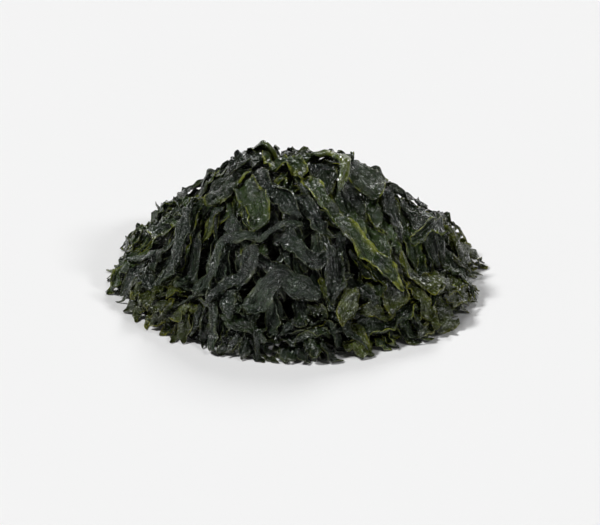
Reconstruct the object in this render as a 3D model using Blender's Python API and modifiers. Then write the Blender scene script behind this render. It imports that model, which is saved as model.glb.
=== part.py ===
"""A heap of fresh wakame: one matted pile of wet seaweed blades on a flat base.

Lengths in this file are millimetres; the objects are made in metres, +Z up. The
pile is laid from the bottom up. Each blade follows a route in plan, rests on
whatever was laid before it and leaves room for its own side lobes.
"""

import math

import bpy
import numpy as np

# ------------------------------------------------------------------ dimensions
HEAP_REACH = 118.0  # furthest the lobes' middle lines reach from the centre
BLADE_THICK = 2.2  # a blade with its small folds, as a plain strip
LOBE_THICK = 1.0  # room taken by a side lobe
MIDRIB_THICK = 3.0
INNER_THICK = 6.3  # a blade folded over on itself inside the heap
BASE_THICK = 3.5
GAP = 0.8  # air between a blade and what it rests on
LOBE_GAP = 0.25
BASE_RING = 86.0  # radius of the ring of blades at the bottom
INNER_LAYERS = (  # reach, blades in the layer, distance between them
    (98.0, 4, 43.0),
    (87.0, 3, 56.0),
    (76.0, 2, 70.0),
    (65.0, 2, 60.0),
    (55.0, 2, 52.0),
    (34.0, 1, 54.0),
)
LOOSE_LOBES = 300
OUTLINE = ((0, 81), (20, 80), (40, 72), (60, 57), (80, 40), (100, 23), (110, 15), (118, 9))  # radius, height
BACK = 0.85  # depth of the heap behind its middle, beside its depth in front
PROUD = (0.5, 6.0)  # how far above the outline a lobe may lie, on average and at most
INNER_TURN = 62.0  # degrees from one layer's direction to the next
FORWARD = 2.4  # how far each layer lies in front of the one below

CELL = 1.0  # spacing of the height field that the blades are laid on
HALF = 150.0
SIDE = int(2 * HALF / CELL) + 1

COLOURS = {  # base colour, roughness
    "dark": ((0.006, 0.018, 0.012), 0.32),
    "green": ((0.020, 0.050, 0.016), 0.34),
    "olive": ((0.050, 0.070, 0.010), 0.36),
    "grey": ((0.028, 0.045, 0.034), 0.40),
    "midrib": ((0.075, 0.110, 0.012), 0.34),
    "inner": ((0.005, 0.013, 0.009), 0.42),
}


# ------------------------------------------------------------------ height field
def blur(a, sigma):
    r = max(1, int(round(3 * sigma / CELL)))
    k = np.exp(-0.5 * (np.arange(-r, r + 1) * CELL / sigma) ** 2)
    k /= k.sum()
    p = np.pad(a, r, mode="edge")
    b = sum(k[i] * p[i : i + SIDE, :] for i in range(2 * r + 1))
    return sum(k[i] * b[:, i : i + SIDE] for i in range(2 * r + 1))


def swell(a, reach):
    """The highest value within reach of each cell."""
    n = int(math.ceil(reach / CELL))
    p = np.pad(a, n, mode="edge")
    out = a.copy()
    for dy in range(-n, n + 1):
        for dx in range(-n, n + 1):
            if (dx * dx + dy * dy) * CELL * CELL <= reach * reach + 0.01:
                out = np.maximum(out, p[n + dy : n + dy + SIDE, n + dx : n + dx + SIDE])
    return out


def at(a, x, y):
    fx = np.clip((x + HALF) / CELL, 0, SIDE - 1.001)
    fy = np.clip((y + HALF) / CELL, 0, SIDE - 1.001)
    ix, iy = fx.astype(int), fy.astype(int)
    tx, ty = fx - ix, fy - iy
    return (a[iy, ix] * (1 - tx) + a[iy, ix + 1] * tx) * (1 - ty) + (
        a[iy + 1, ix] * (1 - tx) + a[iy + 1, ix + 1] * tx
    ) * ty


# ------------------------------------------------------------------ lines
def spline(points, count):
    """count points, evenly spaced along a smooth curve through points."""
    p = np.array(points, float)
    p = np.vstack([2 * p[0] - p[1], p, 2 * p[-1] - p[-2]])
    t = np.linspace(0, 1, 24, endpoint=False)[:, None]
    out = []
    for a, b, c, d in zip(p[:-3], p[1:-2], p[2:-1], p[3:]):
        out.append(
            0.5 * (2 * b + (c - a) * t + (2 * a - 5 * b + 4 * c - d) * t**2 + (3 * b - a - 3 * c + d) * t**3)
        )
    line = np.vstack(out + [p[-2:-1]])
    step = np.r_[0, np.cumsum(np.linalg.norm(np.diff(line, axis=0), axis=1))]
    want = np.linspace(0, step[-1], count)
    return np.stack([np.interp(want, step, line[:, k]) for k in range(p.shape[1])], 1), step[-1]


def drift(rng, s, longest, terms=4):
    """Smooth variation along s, about -1 to 1, with wavelengths from longest down."""
    out = np.zeros_like(s, float)
    for k in range(terms):
        out = out + np.sin(2 * math.pi * (s / (longest / (1 + 0.85 * k)) + rng.random())) / (1 + 0.6 * k)
    return out / 1.6


def unit(v):
    return v / np.maximum(np.linalg.norm(v, axis=-1, keepdims=True), 1e-9)


def normals(p):
    return unit(np.cross(np.gradient(p, axis=0), np.gradient(p, axis=1)))


def dense(p, spacing):
    """Points spread over the faces of a grid, no further apart than spacing."""
    n = int(np.ceil(np.linalg.norm(np.diff(p, axis=0), axis=2).max() / spacing)) + 1
    m = int(np.ceil(np.linalg.norm(np.diff(p, axis=1), axis=2).max() / spacing)) + 1
    a = np.linspace(0, p.shape[0] - 1, (p.shape[0] - 1) * n + 1)
    b = np.linspace(0, p.shape[1] - 1, (p.shape[1] - 1) * m + 1)
    ia, ib = np.clip(a.astype(int), 0, p.shape[0] - 2), np.clip(b.astype(int), 0, p.shape[1] - 2)
    ta, tb = (a - ia)[:, None, None], (b - ib)[None, :, None]
    q = p[ia] * (1 - ta) + p[ia + 1] * ta
    return q[:, ib] * (1 - tb) + q[:, ib + 1] * tb, n, m


def end_shape(f, b):
    """Half-width along a blade as a share of its widest: a narrow root and a rounded tip."""
    rise = np.clip(f / 0.22, 0, 1)
    fall = np.clip((1 - f) / b["tip_len"], 0, 1)
    rise, fall = rise * rise * (3 - 2 * rise), fall * fall * (3 - 2 * fall)
    return np.minimum(b["root"] + (1 - b["root"]) * rise, b["tip"] + (1 - b["tip"]) * fall)


# ------------------------------------------------------------------ laying
class Pile:
    """The heap so far, as the height of its top over the plan."""

    def __init__(self):
        self.top = np.zeros((SIDE, SIDE))

    def lay(self, b):
        """Lay one blade on what is below it; its middle surface is b["grid"], n by m points.

        A capped lobe that would stand proud of the heap's outline is left out, and its grid is None.
        """
        rng = np.random.default_rng(b["seed"])
        n, m, thick = b["n"], b["m"], b["thick"]
        line, length = spline(b["route"], n)
        s = np.linspace(0, length, n)
        f = s / length
        b["length"] = length
        wide = b["width"] / 2 * (1 + b["vary"] * drift(rng, s, 60)) * end_shape(f, b)
        roll = np.radians(b["roll"] * drift(rng, s, 70) + b["lean"])
        curl = np.radians(b["curl"] * drift(rng, s, 80))
        u = np.linspace(-1, 1, m)[None, :]
        if b["flat"]:
            along = unit(np.gradient(line, axis=0))
            side = np.stack([-along[:, 1], along[:, 0]], 1)
            xy = line[:, None] + side[:, None] * (wide[:, None] * u)[..., None]
            b["grid"] = np.concatenate([xy, np.full((n, m, 1), thick / 2)], 2)
            self.cover(b["grid"], thick)
            return
        ro, cu, wi = roll[:, None], curl[:, None], wide[:, None]
        cu = np.where(np.abs(cu) < 0.02, 0.02, cu)
        across = 2 * wi / cu * (np.sin(ro + cu * u / 2) - np.sin(ro))
        rise = 2 * wi / cu * (np.cos(ro) - np.cos(ro + cu * u / 2))
        base = blur(swell(self.top, 1.0), b["smooth"])
        broad = blur(self.top, 9.0)
        arch = b["hump"] * np.abs(drift(rng, s, 55)) * np.minimum(1, 2.5 * np.minimum(f, 1 - f))
        z = at(base, line[:, 0], line[:, 1]) + thick / 2 + arch
        middle = np.column_stack([line, z])
        e = 1.5
        gx = (at(broad, line[:, 0] + e, line[:, 1]) - at(broad, line[:, 0] - e, line[:, 1])) / (2 * e)
        gy = (at(broad, line[:, 0], line[:, 1] + e) - at(broad, line[:, 0], line[:, 1] - e)) / (2 * e)
        up = unit(np.stack([-gx, -gy, np.ones(n)], 1))
        along = unit(np.gradient(middle, axis=0))
        up = unit(up - along * (up * along).sum(1, keepdims=True))
        side = np.cross(up, along)
        p = middle[:, None] + side[:, None] * across[..., None] + up[:, None] * rise[..., None]
        cling = at(base, p[..., 0], p[..., 1]) + thick / 2 + rise / np.maximum(up[:, None, 2], 0.5) + arch[:, None]
        p[..., 2] = (1 - b["drape"]) * p[..., 2] + b["drape"] * cling
        below = swell(self.top, 1.0) if b["solid"] else self.top
        for turn in range(7):
            if self.lift(p, thick, below, b["gap"], b["drape"], turn == 6 and b["solid"], b["solid"]) < 0.03:
                break
        if b["capped"]:
            radius = np.hypot(p[..., 0], p[..., 1] / np.where(p[..., 1] > 0, BACK - 0.07, 1.0))
            proud = p[..., 2] - np.interp(radius, *zip(*OUTLINE))
            if float(proud.mean()) > PROUD[0] or float(proud.max()) > PROUD[1]:
                b["grid"] = None
                return
        b["grid"] = p
        self.cover(p, thick)

    def lift(self, p, thick, below, gap, drape, whole_rows, both_sides):
        """Raise the grid where its sides reach into what is below; returns how far they did."""
        nrm = normals(p)
        low = np.zeros(p.shape[:2])
        worst = 0.0
        straight = np.zeros_like(p)
        straight[..., 2] = -thick / 2 / np.clip(np.abs(nrm[..., 2]), 0.5, 1.0)
        for side in (nrm * thick / 2, -nrm * thick / 2) if both_sides else (straight,):
            q, n, m = dense(p + side, 1.0)
            deep = at(below, q[..., 0], q[..., 1]) + gap - q[..., 2]
            worst = max(worst, float(deep.max()))
            cells = np.maximum.reduceat(deep[:-1], np.arange(0, deep.shape[0] - 1, n), axis=0)
            cells = np.maximum(cells, deep[n::n])
            face = np.maximum.reduceat(cells[:, :-1], np.arange(0, cells.shape[1] - 1, m), axis=1)
            face = np.maximum(face, cells[:, m::m])
            pad = np.pad(face, 1, mode="edge")
            near = np.maximum(np.maximum(pad[:-1, :-1], pad[1:, :-1]), np.maximum(pad[:-1, 1:], pad[1:, 1:]))
            low = np.maximum(low, near)
        row = np.broadcast_to(low.max(1, keepdims=True), low.shape)
        want = row if whole_rows else drape * low + (1 - drape) * row
        pad = np.pad(want, ((1, 1), (0, 0)), mode="edge")
        p[..., 2] += np.maximum(want, 0.25 * pad[:-2] + 0.5 * pad[1:-1] + 0.25 * pad[2:])
        return worst

    def cover(self, p, thick):
        nrm = normals(p)
        for sign in (1, -1):
            q, _, _ = dense(p + sign * nrm * thick / 2, 0.7)
            ix = np.clip(np.rint((q[..., 0] + HALF) / CELL).astype(int), 0, SIDE - 1).ravel()
            iy = np.clip(np.rint((q[..., 1] + HALF) / CELL).astype(int), 0, SIDE - 1).ravel()
            np.maximum.at(self.top, (iy, ix), q[..., 2].ravel())


# ------------------------------------------------------------------ what is laid
def blade(name, route, width, seed, **more):
    b = dict(name=name, route=route, width=width, seed=seed, thick=BLADE_THICK, n=18, m=5, roll=12, curl=35,
             lean=0.0, hump=0.0, drape=0.75, smooth=3.0, gap=GAP, root=0.55, tip=0.35, tip_len=0.25, vary=0.16,
             flat=False, solid=True, capped=False, colour="dark")
    b.update(more)
    return b


def polar(radius, degrees):
    return (radius * math.cos(math.radians(degrees)), radius * math.sin(math.radians(degrees)))


def arc(radius, a, b, seed, count=5, wave=2.5):
    rng = np.random.default_rng(seed)
    return [polar(radius + rng.uniform(-wave, wave), v) for v in np.linspace(a, b, count)]


def within(q):
    """The point, brought in to the furthest that a lobe's middle line may reach."""
    return q * min(1.0, HEAP_REACH / math.hypot(q[0], q[1] / (BACK if q[1] > 0 else 1.0)))


def base_blades():
    """Blades that lie flat under the heap: four round its edge and one across its middle."""
    flat = dict(flat=True, thick=BASE_THICK, m=3, colour="inner")
    out = []
    for k in range(4):
        line = [polar(BASE_RING, 90 * k + a) for a in (8, 27, 45, 63, 82)]
        line = [(x, y * (BACK if y > 0 else 1.0)) for x, y in line]
        out.append(blade(f"base_blade_{k + 1}", line, 44, 11 + k, n=10, root=0.8, tip=0.6, **flat))
    line = [(-50, -8), (-20, 6), (10, -6), (50, 8)]
    out.append(blade("base_blade_5", line, 54, 15, n=8, root=0.85, tip=0.7, **flat))
    return out


def inner_blades():
    """Folded blades in layers, each layer turned on the one below and smaller."""
    out = []
    rng = np.random.default_rng(7)
    for layer, (radius, count, across) in enumerate(INNER_LAYERS):
        for j in range(count):
            y = (j - (count - 1) / 2) * across
            half = math.sqrt(max(radius**2 - (abs(y) + across * 0.2) ** 2, 200.0))
            bend = rng.uniform(-1.5, 1.5, 3)
            turn = math.radians(INNER_TURN * layer)
            c, s = math.cos(turn), math.sin(turn)
            line = [(-half, y + bend[0]), (-half / 3, y), (half / 3, y + bend[1]), (half, y + bend[2])]
            line = [(a * c - b * s, a * s + b * c) for a, b in line]
            line = [(a, b * (0.9 if b > 0 else 1.0) - FORWARD * (layer + 1.5)) for a, b in line]
            k = len(out) + 1
            out.append(
                blade(f"inner_blade_{k:02d}", line, across * 0.9, 40 + k,
                      thick=INNER_THICK, gap=1.1, n=10, m=5, roll=2, curl=8, drape=0.95, smooth=8.0, root=0.75, tip=0.6,
                      tip_len=0.15, vary=0.03, colour="inner")
            )
    return out


def side_lobes(b, count, length, width, down=0.45, sway=0.9, arch=4.0):
    """Room for count lobes that spring from alternate sides of blade b and hang down the slope."""
    rng = np.random.default_rng(b["seed"] + 500)
    line, _ = spline(b["route"], 60)
    along = unit(np.gradient(line, axis=0))
    out = []
    for j in range(count):
        f = 0.08 + 0.88 * (j + rng.uniform(0.15, 0.85)) / count
        i = int(round(f * 59))
        t = along[i]
        side = np.array([-t[1], t[0]]) * (1 if j % 2 else -1)
        fall = line[i] / max(np.linalg.norm(line[i]), 12.0)
        way = unit(side * rng.uniform(0.5, 1.0) + t * rng.uniform(-0.3, 0.6) + fall * 2 * down * rng.uniform(0.5, 1.2))
        turn = rng.uniform(-sway, sway)
        long = length * rng.uniform(0.65, 1.35)
        q = line[i].copy()
        points = [tuple(q)]
        for k in range(4):
            a = turn * (k + 0.5) / 4
            q = q + np.array([way[0] * math.cos(a) - way[1] * math.sin(a), way[0] * math.sin(a) + way[1] * math.cos(a)]) * long / 4
            q = within(q)
            points.append(tuple(q))
        out.append(
            blade(f"{b['name']}_lobe_{j + 1}", points, width * rng.choice((0.45, 0.65, 0.85, 1.15)), b["seed"] * 100 + j, n=13, m=4,
                  thick=LOBE_THICK, gap=LOBE_GAP, solid=False, roll=22, curl=55, hump=rng.uniform(0, arch), drape=0.85,
                  root=0.5, tip=0.3, tip_len=0.45, capped=True, owner=b["name"])
        )
    return out


def loose_lobes(owners, count):
    """Room for more lobes, spread evenly over the slope, each with the blade that it lies nearest to."""
    rng = np.random.default_rng(31)
    middles = np.array([np.mean(b["route"], axis=0) for b in owners])
    out = []
    for j in range(count):
        radius = 3 + 101 * ((j + 0.5) / count) ** 0.6
        angle = math.radians(137.508 * j)
        q = np.array([radius * math.cos(angle), radius * math.sin(angle)])
        way = math.atan2(q[1], q[0]) + rng.normal(0, 0.7)
        turn = rng.uniform(-0.9, 0.9)
        long = rng.uniform(18, 34) * (1.0 if radius < 85 else 0.6)
        points = [tuple(q)]
        for k in range(4):
            a = way + turn * (k + 0.5) / 4
            q = q + np.array([math.cos(a), math.sin(a)]) * long / 4
            q = within(q)
            points.append(tuple(q))
        owner = owners[int(np.argmin(np.linalg.norm(middles - np.mean(points, axis=0), axis=1)))]
        out.append(
            blade(f"{owner['name']}_loose_{j + 1}", points, rng.choice((4.5, 6.5, 8.5, 10.5)), 40000 + j, n=13, m=4,
                  thick=LOBE_THICK, gap=LOBE_GAP, solid=False, roll=22, curl=55, hump=rng.uniform(0, 4), drape=0.85, root=0.5,
                  tip=0.3, tip_len=0.45, capped=True, owner=owner["name"])
        )
    return out


def single_lobes():
    """Lobes that can be told apart on the front: the blade each grows from, its route and its width."""
    told = (
        ("s_blade", [(-24, -60), (-23, -68), (-22, -77)], 14),
        ("light_blade", [(-49, -67), (-58, -62), (-66, -61), (-73, -61)], 8),
        ("light_blade", [(-86, -30), (-95, -21), (-101, -17), (-107, -16)], 7),
        ("light_blade", [(-60, -30), (-62, -42), (-66, -55), (-72, -66)], 11),
        ("low_blade_left", [(-42, -60), (-50, -68), (-56, -76), (-60, -84)], 10),
        ("low_blade_left", [(-34, -78), (-38, -86), (-40, -94), (-38, -102)], 9),
        ("rim_blade_right", [(48, -40), (55, -46), (61, -45), (69, -44)], 12),
        ("front_tongue", [(44, -54), (50, -60), (56, -63), (63, -66)], 16),
        ("front_tongue", [(56, -70), (58, -78), (56, -86), (56, -93)], 15),
        ("low_blade_right", [(74, -56), (80, -60), (88, -60), (96, -54)], 13),
        ("low_blade_right", [(66, -70), (74, -76), (80, -80), (84, -84)], 12),
        ("rim_blade_right", [(40, -30), (50, -38), (58, -50), (60, -60)], 12),
        ("long_edge_blade", [(36, -44), (46, -52), (52, -62), (54, -73)], 11),
        ("rim_blade_right", [(60, -24), (68, -34), (74, -44), (80, -53)], 12),
        ("crest_flap", [(50, -20), (60, -29), (66, -39), (72, -48)], 12),
        ("rear_crest_blade", [(68, -6), (77, -17), (84, -28), (89, -38)], 11),
        ("rear_crest_blade", [(60, -14), (70, -24), (76, -32), (86, -40)], 10),
        ("peak_blade", [(-54, -7), (-61, -9), (-67, -11), (-76, -11)], 13),
        ("peak_blade", [(-41, -14), (-49, -18), (-56, -23), (-62, -26), (-67, -30)], 10),
        ("upper_left_strap", [(-56, -26), (-63, -30), (-68, -38), (-70, -48)], 11),
        ("gutter_blade", [(-40, -44), (-36, -54), (-30, -62), (-30, -72)], 9),
        ("gutter_blade", [(-2, -42), (8, -50), (14, -58), (24, -62)], 10),
        ("slanting_blade", [(-30, -70), (-20, -78), (-8, -80), (4, -82)], 9),
        ("peak_blade_right", [(-6, -46), (-2, -58), (0, -68), (6, -78)], 10),
        ("front_blade_high", [(30, -72), (36, -80), (42, -86), (46, -94)], 10),
        ("crest_flap", [(32, -14), (39, -24), (44, -36), (49, -48)], 12),
        ("long_edge_blade", [(22, -30), (28, -40), (34, -50), (41, -60)], 12),
        ("peak_blade_right", [(24, -22), (30, -31), (36, -40), (41, -47)], 11),
        ("rear_crest_blade", [(44, -10), (52, -22), (58, -34), (63, -46)], 12),
    )
    out = []
    for j, (owner, route, width) in enumerate(told):
        out.append(
            blade(f"{owner}_single_{j + 1}", route, width, 60000 + j, n=13, m=4, thick=LOBE_THICK, gap=LOBE_GAP,
                  solid=False, roll=12, curl=45, hump=0.8, drape=0.8, root=0.5, tip=0.35, tip_len=0.4, owner=owner)
        )
    return out


def outer_blades():
    out = []

    def grow(b, count, length, width, **more):
        out.extend(side_lobes(b, count, length, width, **more))
        out.append(b)

    # blades that run round the foot of the heap, with short frilled lobes
    foot = ((150, 196, 101, "green"), (200, 236, 103, "olive"), (318, 352, 102, "olive"), (356, 398, 101, "olive"),
            (42, 82, 100, "green"), (88, 122, 100, "dark"), (126, 150, 100, "green"))
    for k, (a, b, radius, colour) in enumerate(foot):
        line = [(x, y * (BACK if y > 0 else 1.0)) for x, y in arc(radius, a, b, 60 + k)]
        grow(blade(f"foot_blade_{k + 1}", line, 15, 70 + k, drape=0.85, roll=8, colour=colour),
             20, 13, 7.5, down=0.35, sway=1.3, arch=1.0)
    # blades that hang down the slope at the back and the sides
    slope = ((172, 48, 94, 14, "green"), (148, 60, 98, -12, "dark"), (124, 62, 100, 16, "dark"), (98, 60, 100, -9, "green"),
             (74, 60, 100, 12, "dark"), (50, 64, 98, -14, "green"), (24, 64, 97, -12, "olive"), (2, 50, 92, -12, "olive"),
             (-30, 44, 88, 14, "green"))
    for k, (a, r0, r1, swing, colour) in enumerate(slope):
        line = [polar(r0 + (r1 - r0) * t, a + swing * math.sin(2.6 * t)) for t in (0, 0.33, 0.67, 1)]
        line = [(x, y * (BACK if y > 0 else 1.0)) for x, y in line]
        grow(blade(f"slope_blade_{k + 1}", line, 13, 90 + k, colour=colour), 10, 24, 9, arch=2.0)
    for k, (a, b, radius) in enumerate(((60, 128, 26), (140, 214, 36), (330, 400, 34))):
        grow(blade(f"shoulder_blade_{k + 1}", arc(radius, a, b, 80 + k), 13, 110 + k), 8, 22, 9, arch=2.0)
    # the front of the foot
    grow(blade("front_blade_left", [(-58, -78), (-37, -95), (-30, -104), (-22, -108)], 12, 121), 16, 16, 8, arch=1.5)
    grow(blade("front_blade_middle", [(-18, -100), (-7, -105), (6, -109), (20, -106)], 12, 122), 16, 16, 8, arch=1.5)
    grow(blade("front_blade_right", [(30, -100), (46, -96), (60, -86), (72, -78)], 12, 123, colour="green"), 16, 16, 8, arch=1.5)
    # the blades that show at the front, lowest first: the blade, its lobes, their length and width
    shown = (
        (blade("light_blade", [(-62, -20), (-67, -32), (-72, -44), (-78, -50), (-84, -56)], 11, 130, colour="grey"), 11, 27, 8),
        (blade("low_blade_left", [(-53, -92), (-45, -86), (-37, -83), (-29, -80), (-22, -72)], 10, 131, colour="grey"), 10, 25, 7),
        (blade("arched_blade", [(-30, -99), (-18, -91), (-8, -88), (3, -87), (14, -91)], 13, 132, hump=1.5, smooth=7.0, colour="grey"), 10, 25, 8),
        (blade("front_tongue", [(34, -84), (33, -90), (30, -98), (27, -107)], 11, 133, colour="olive"), 6, 23, 8),
        (blade("low_blade_right", [(62, -62), (71, -66), (79, -68), (90, -65)], 12, 134, colour="olive"), 10, 25, 9),
        (blade("rim_blade_right", [(68, -44), (76, -38), (84, -30), (92, -20)], 11, 135, colour="green"), 10, 25, 9),
        (blade("slanting_blade", [(-14, -66), (-3, -71), (6, -75), (14, -78), (24, -78), (34, -73)], 9, 136, colour="grey"), 10, 27, 7),
        (blade("front_blade_high", [(16, -66), (21, -76), (23, -86), (21, -96)], 11, 137), 8, 25, 7),
        (blade("cross_strap", [(4, -61), (-8, -63), (-22, -62), (-32, -62), (-42, -62), (-47, -66), (-48, -77)], 8, 138, colour="grey"), 11, 29, 7),
        (blade("gutter_blade", [(-24, -20), (-19, -33), (-15, -43), (-7, -49), (-3, -55), (2, -61)], 10, 139, colour="grey"), 11, 29, 7),
        (blade("peak_blade_right", [(-11, -11), (-1, -15), (9, -16), (16, -22), (18, -33), (16, -44)], 14, 140), 10, 27, 8),
        (blade("s_blade", [(-34, -29), (-29, -39), (-23, -49), (-23, -56), (-26, -62)], 13, 141, lean=-16, colour="green"), 6, 27, 7),
        (blade("upper_left_strap", [(-55, -32), (-48, -31), (-41, -27), (-34, -25), (-27, -26)], 10, 142, hump=1.0, smooth=4.5, colour="green"), 10, 27, 8),
        (blade("rear_crest_blade", [(38, -8), (47, -4), (54, -9), (62, -10), (72, -3), (80, 0)], 10, 143), 10, 25, 8),
        (blade("long_edge_blade", [(5, -32), (9, -41), (15, -50), (24, -57), (34, -63), (45, -69), (55, -75), (63, -82)], 12, 144, lean=-20, n=22, smooth=10.0, drape=0.45, colour="green"), 8, 27, 8),
        (blade("crest_flap", [(19, -6), (28, -14), (37, -21), (46, -27), (51, -30)], 20, 145, lean=8, tip=0.6, curl=25, colour="green"), 6, 25, 8),
        (blade("peak_blade", [(-22, 14), (-26, 2), (-31, -10), (-35, -20), (-40, -27)], 16, 146), 8, 25, 8),
        (blade("crown_blade_front", [(-20, -6), (-12, -15), (-3, -21), (3, -26), (3, -38)], 9, 147, colour="green"), 6, 25, 7),
    )
    for b, count, length, width in shown:
        out.extend(side_lobes(b, count, length, width, down=0.35, sway=1.2))
    out.extend(loose_lobes([b for b in out if b["solid"]] + [b for b, _, _, _ in shown], LOOSE_LOBES))
    out.extend(single_lobes())
    out.extend(b for b, _, _, _ in shown)
    # the stem that the blades grow from, where it comes over the crown
    line = [(-30, 24), (-24, 10), (-16, 0), (-8, 3), (0, 4), (8, -1), (14, -10), (22, -14), (28, -21), (29, -32), (25, -42)]
    out.append(blade("midrib", line, 8, 150, n=26, thick=MIDRIB_THICK, roll=8, curl=30, hump=0.5, drape=0.9, root=0.8, tip=0.5, colour="midrib"))
    return out


# ------------------------------------------------------------------ solids
def make_materials():
    out = {}
    for name, (colour, rough) in COLOURS.items():
        mat = bpy.data.materials.new("wakame_" + name)
        mat.use_nodes = True
        shader = mat.node_tree.nodes["Principled BSDF"]
        shader.inputs["Base Color"].default_value = (*colour, 1.0)
        shader.inputs["Roughness"].default_value = rough
        shader.inputs["Metallic"].default_value = 0.0
        mat.diffuse_color = (*[min(1.0, c * 6) for c in colour], 1.0)
        out[name] = mat
    return out


def make_solid(b, material, collection):
    """A flat grid moved to the blade's middle surface, then thickened both ways."""
    n, m = b["n"], b["m"]
    grid = b["grid"] / 1000.0
    centre = grid.reshape(-1, 3).mean(0)
    bpy.ops.mesh.primitive_grid_add(x_subdivisions=m - 1, y_subdivisions=n - 1, size=1.0)
    obj = bpy.context.active_object
    obj.name = b["name"]
    obj.data.name = b["name"]
    for v in obj.data.vertices:
        j = int(round((v.co.x + 0.5) * (m - 1)))
        i = int(round((v.co.y + 0.5) * (n - 1)))
        v.co = grid[i, j] - centre
    obj.location = centre
    shell = obj.modifiers.new("thickness", "SOLIDIFY")
    shell.thickness = b["thick"] / 1000.0
    shell.offset = 0.0
    obj.data.materials.append(material)
    for old in list(obj.users_collection):
        old.objects.unlink(obj)
    collection.objects.link(obj)
    if not b["flat"]:
        obj.data.shade_smooth()
    return obj


def centre_on_base(objects):
    """Move everything together so that the heap's box stands centred on the origin."""
    bpy.context.view_layer.update()
    graph = bpy.context.evaluated_depsgraph_get()
    low, high = np.full(3, 1e9), np.full(3, -1e9)
    for obj in objects:
        seen = obj.evaluated_get(graph)
        mesh = seen.to_mesh()
        at_world = np.array([seen.matrix_world @ v.co for v in mesh.vertices])
        low, high = np.minimum(low, at_world.min(0)), np.maximum(high, at_world.max(0))
        seen.to_mesh_clear()
    for obj in objects:
        obj.location.x -= (low[0] + high[0]) / 2
        obj.location.y -= (low[1] + high[1]) / 2
        obj.location.z -= low[2]


def main():
    for obj in list(bpy.data.objects):
        bpy.data.objects.remove(obj, do_unlink=True)
    collection = bpy.data.collections.new("wakame_heap")
    bpy.context.scene.collection.children.link(collection)
    materials = make_materials()
    pile = Pile()
    for b in base_blades() + inner_blades() + outer_blades():
        pile.lay(b)
        if b["solid"]:
            make_solid(b, materials[b["colour"]], collection)
    centre_on_base(collection.objects)


main()
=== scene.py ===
"""The look of a heap of fresh wakame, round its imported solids.

The blades are laid as in the solids, so that each sheet lies where its solid
does. Every blade is then folded, pleated, curled and ruffled in the room it has.
Lengths are millimetres up to the making of each mesh.
"""

import math

import bpy
import numpy as np
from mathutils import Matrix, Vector


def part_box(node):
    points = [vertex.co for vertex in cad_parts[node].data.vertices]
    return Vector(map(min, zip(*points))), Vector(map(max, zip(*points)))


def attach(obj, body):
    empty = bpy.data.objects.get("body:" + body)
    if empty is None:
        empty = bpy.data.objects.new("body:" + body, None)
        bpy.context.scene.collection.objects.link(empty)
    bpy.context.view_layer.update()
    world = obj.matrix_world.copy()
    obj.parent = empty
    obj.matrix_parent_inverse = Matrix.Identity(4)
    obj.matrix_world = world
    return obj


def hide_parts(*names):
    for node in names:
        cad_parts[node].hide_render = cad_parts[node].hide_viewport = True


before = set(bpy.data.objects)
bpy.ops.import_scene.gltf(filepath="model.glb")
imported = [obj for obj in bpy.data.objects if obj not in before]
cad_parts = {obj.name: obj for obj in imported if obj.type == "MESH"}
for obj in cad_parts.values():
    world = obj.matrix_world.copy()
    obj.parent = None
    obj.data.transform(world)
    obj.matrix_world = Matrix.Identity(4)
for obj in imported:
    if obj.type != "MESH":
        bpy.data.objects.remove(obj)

# ------------------------------------------------------------------ dimensions
HEAP_REACH = 118.0  # furthest the lobes' middle lines reach from the centre
BLADE_THICK = 2.2  # a blade with its small folds, as a plain strip
LOBE_THICK = 1.0  # room taken by a side lobe
MIDRIB_THICK = 3.0
INNER_THICK = 6.3  # a blade folded over on itself inside the heap
BASE_THICK = 3.5
GAP = 0.8  # air between a blade and what it rests on
LOBE_GAP = 0.25
BASE_RING = 86.0  # radius of the ring of blades at the bottom
INNER_LAYERS = (  # reach, blades in the layer, distance between them
    (98.0, 4, 43.0),
    (87.0, 3, 56.0),
    (76.0, 2, 70.0),
    (65.0, 2, 60.0),
    (55.0, 2, 52.0),
    (34.0, 1, 54.0),
)
LOOSE_LOBES = 300
OUTLINE = ((0, 81), (20, 80), (40, 72), (60, 57), (80, 40), (100, 23), (110, 15), (118, 9))  # radius, height
BACK = 0.85  # depth of the heap behind its middle, beside its depth in front
PROUD = (0.5, 6.0)  # how far above the outline a lobe may lie, on average and at most
INNER_TURN = 62.0  # degrees from one layer's direction to the next
FORWARD = 2.4  # how far each layer lies in front of the one below

CELL = 1.0  # spacing of the height field that the blades are laid on
HALF = 150.0
SIDE = int(2 * HALF / CELL) + 1


# ------------------------------------------------------------------ height field
def blur(a, sigma):
    r = max(1, int(round(3 * sigma / CELL)))
    k = np.exp(-0.5 * (np.arange(-r, r + 1) * CELL / sigma) ** 2)
    k /= k.sum()
    p = np.pad(a, r, mode="edge")
    b = sum(k[i] * p[i : i + SIDE, :] for i in range(2 * r + 1))
    return sum(k[i] * b[:, i : i + SIDE] for i in range(2 * r + 1))


def swell(a, reach):
    """The highest value within reach of each cell."""
    n = int(math.ceil(reach / CELL))
    p = np.pad(a, n, mode="edge")
    out = a.copy()
    for dy in range(-n, n + 1):
        for dx in range(-n, n + 1):
            if (dx * dx + dy * dy) * CELL * CELL <= reach * reach + 0.01:
                out = np.maximum(out, p[n + dy : n + dy + SIDE, n + dx : n + dx + SIDE])
    return out


def at(a, x, y):
    fx = np.clip((x + HALF) / CELL, 0, SIDE - 1.001)
    fy = np.clip((y + HALF) / CELL, 0, SIDE - 1.001)
    ix, iy = fx.astype(int), fy.astype(int)
    tx, ty = fx - ix, fy - iy
    return (a[iy, ix] * (1 - tx) + a[iy, ix + 1] * tx) * (1 - ty) + (
        a[iy + 1, ix] * (1 - tx) + a[iy + 1, ix + 1] * tx
    ) * ty


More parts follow.
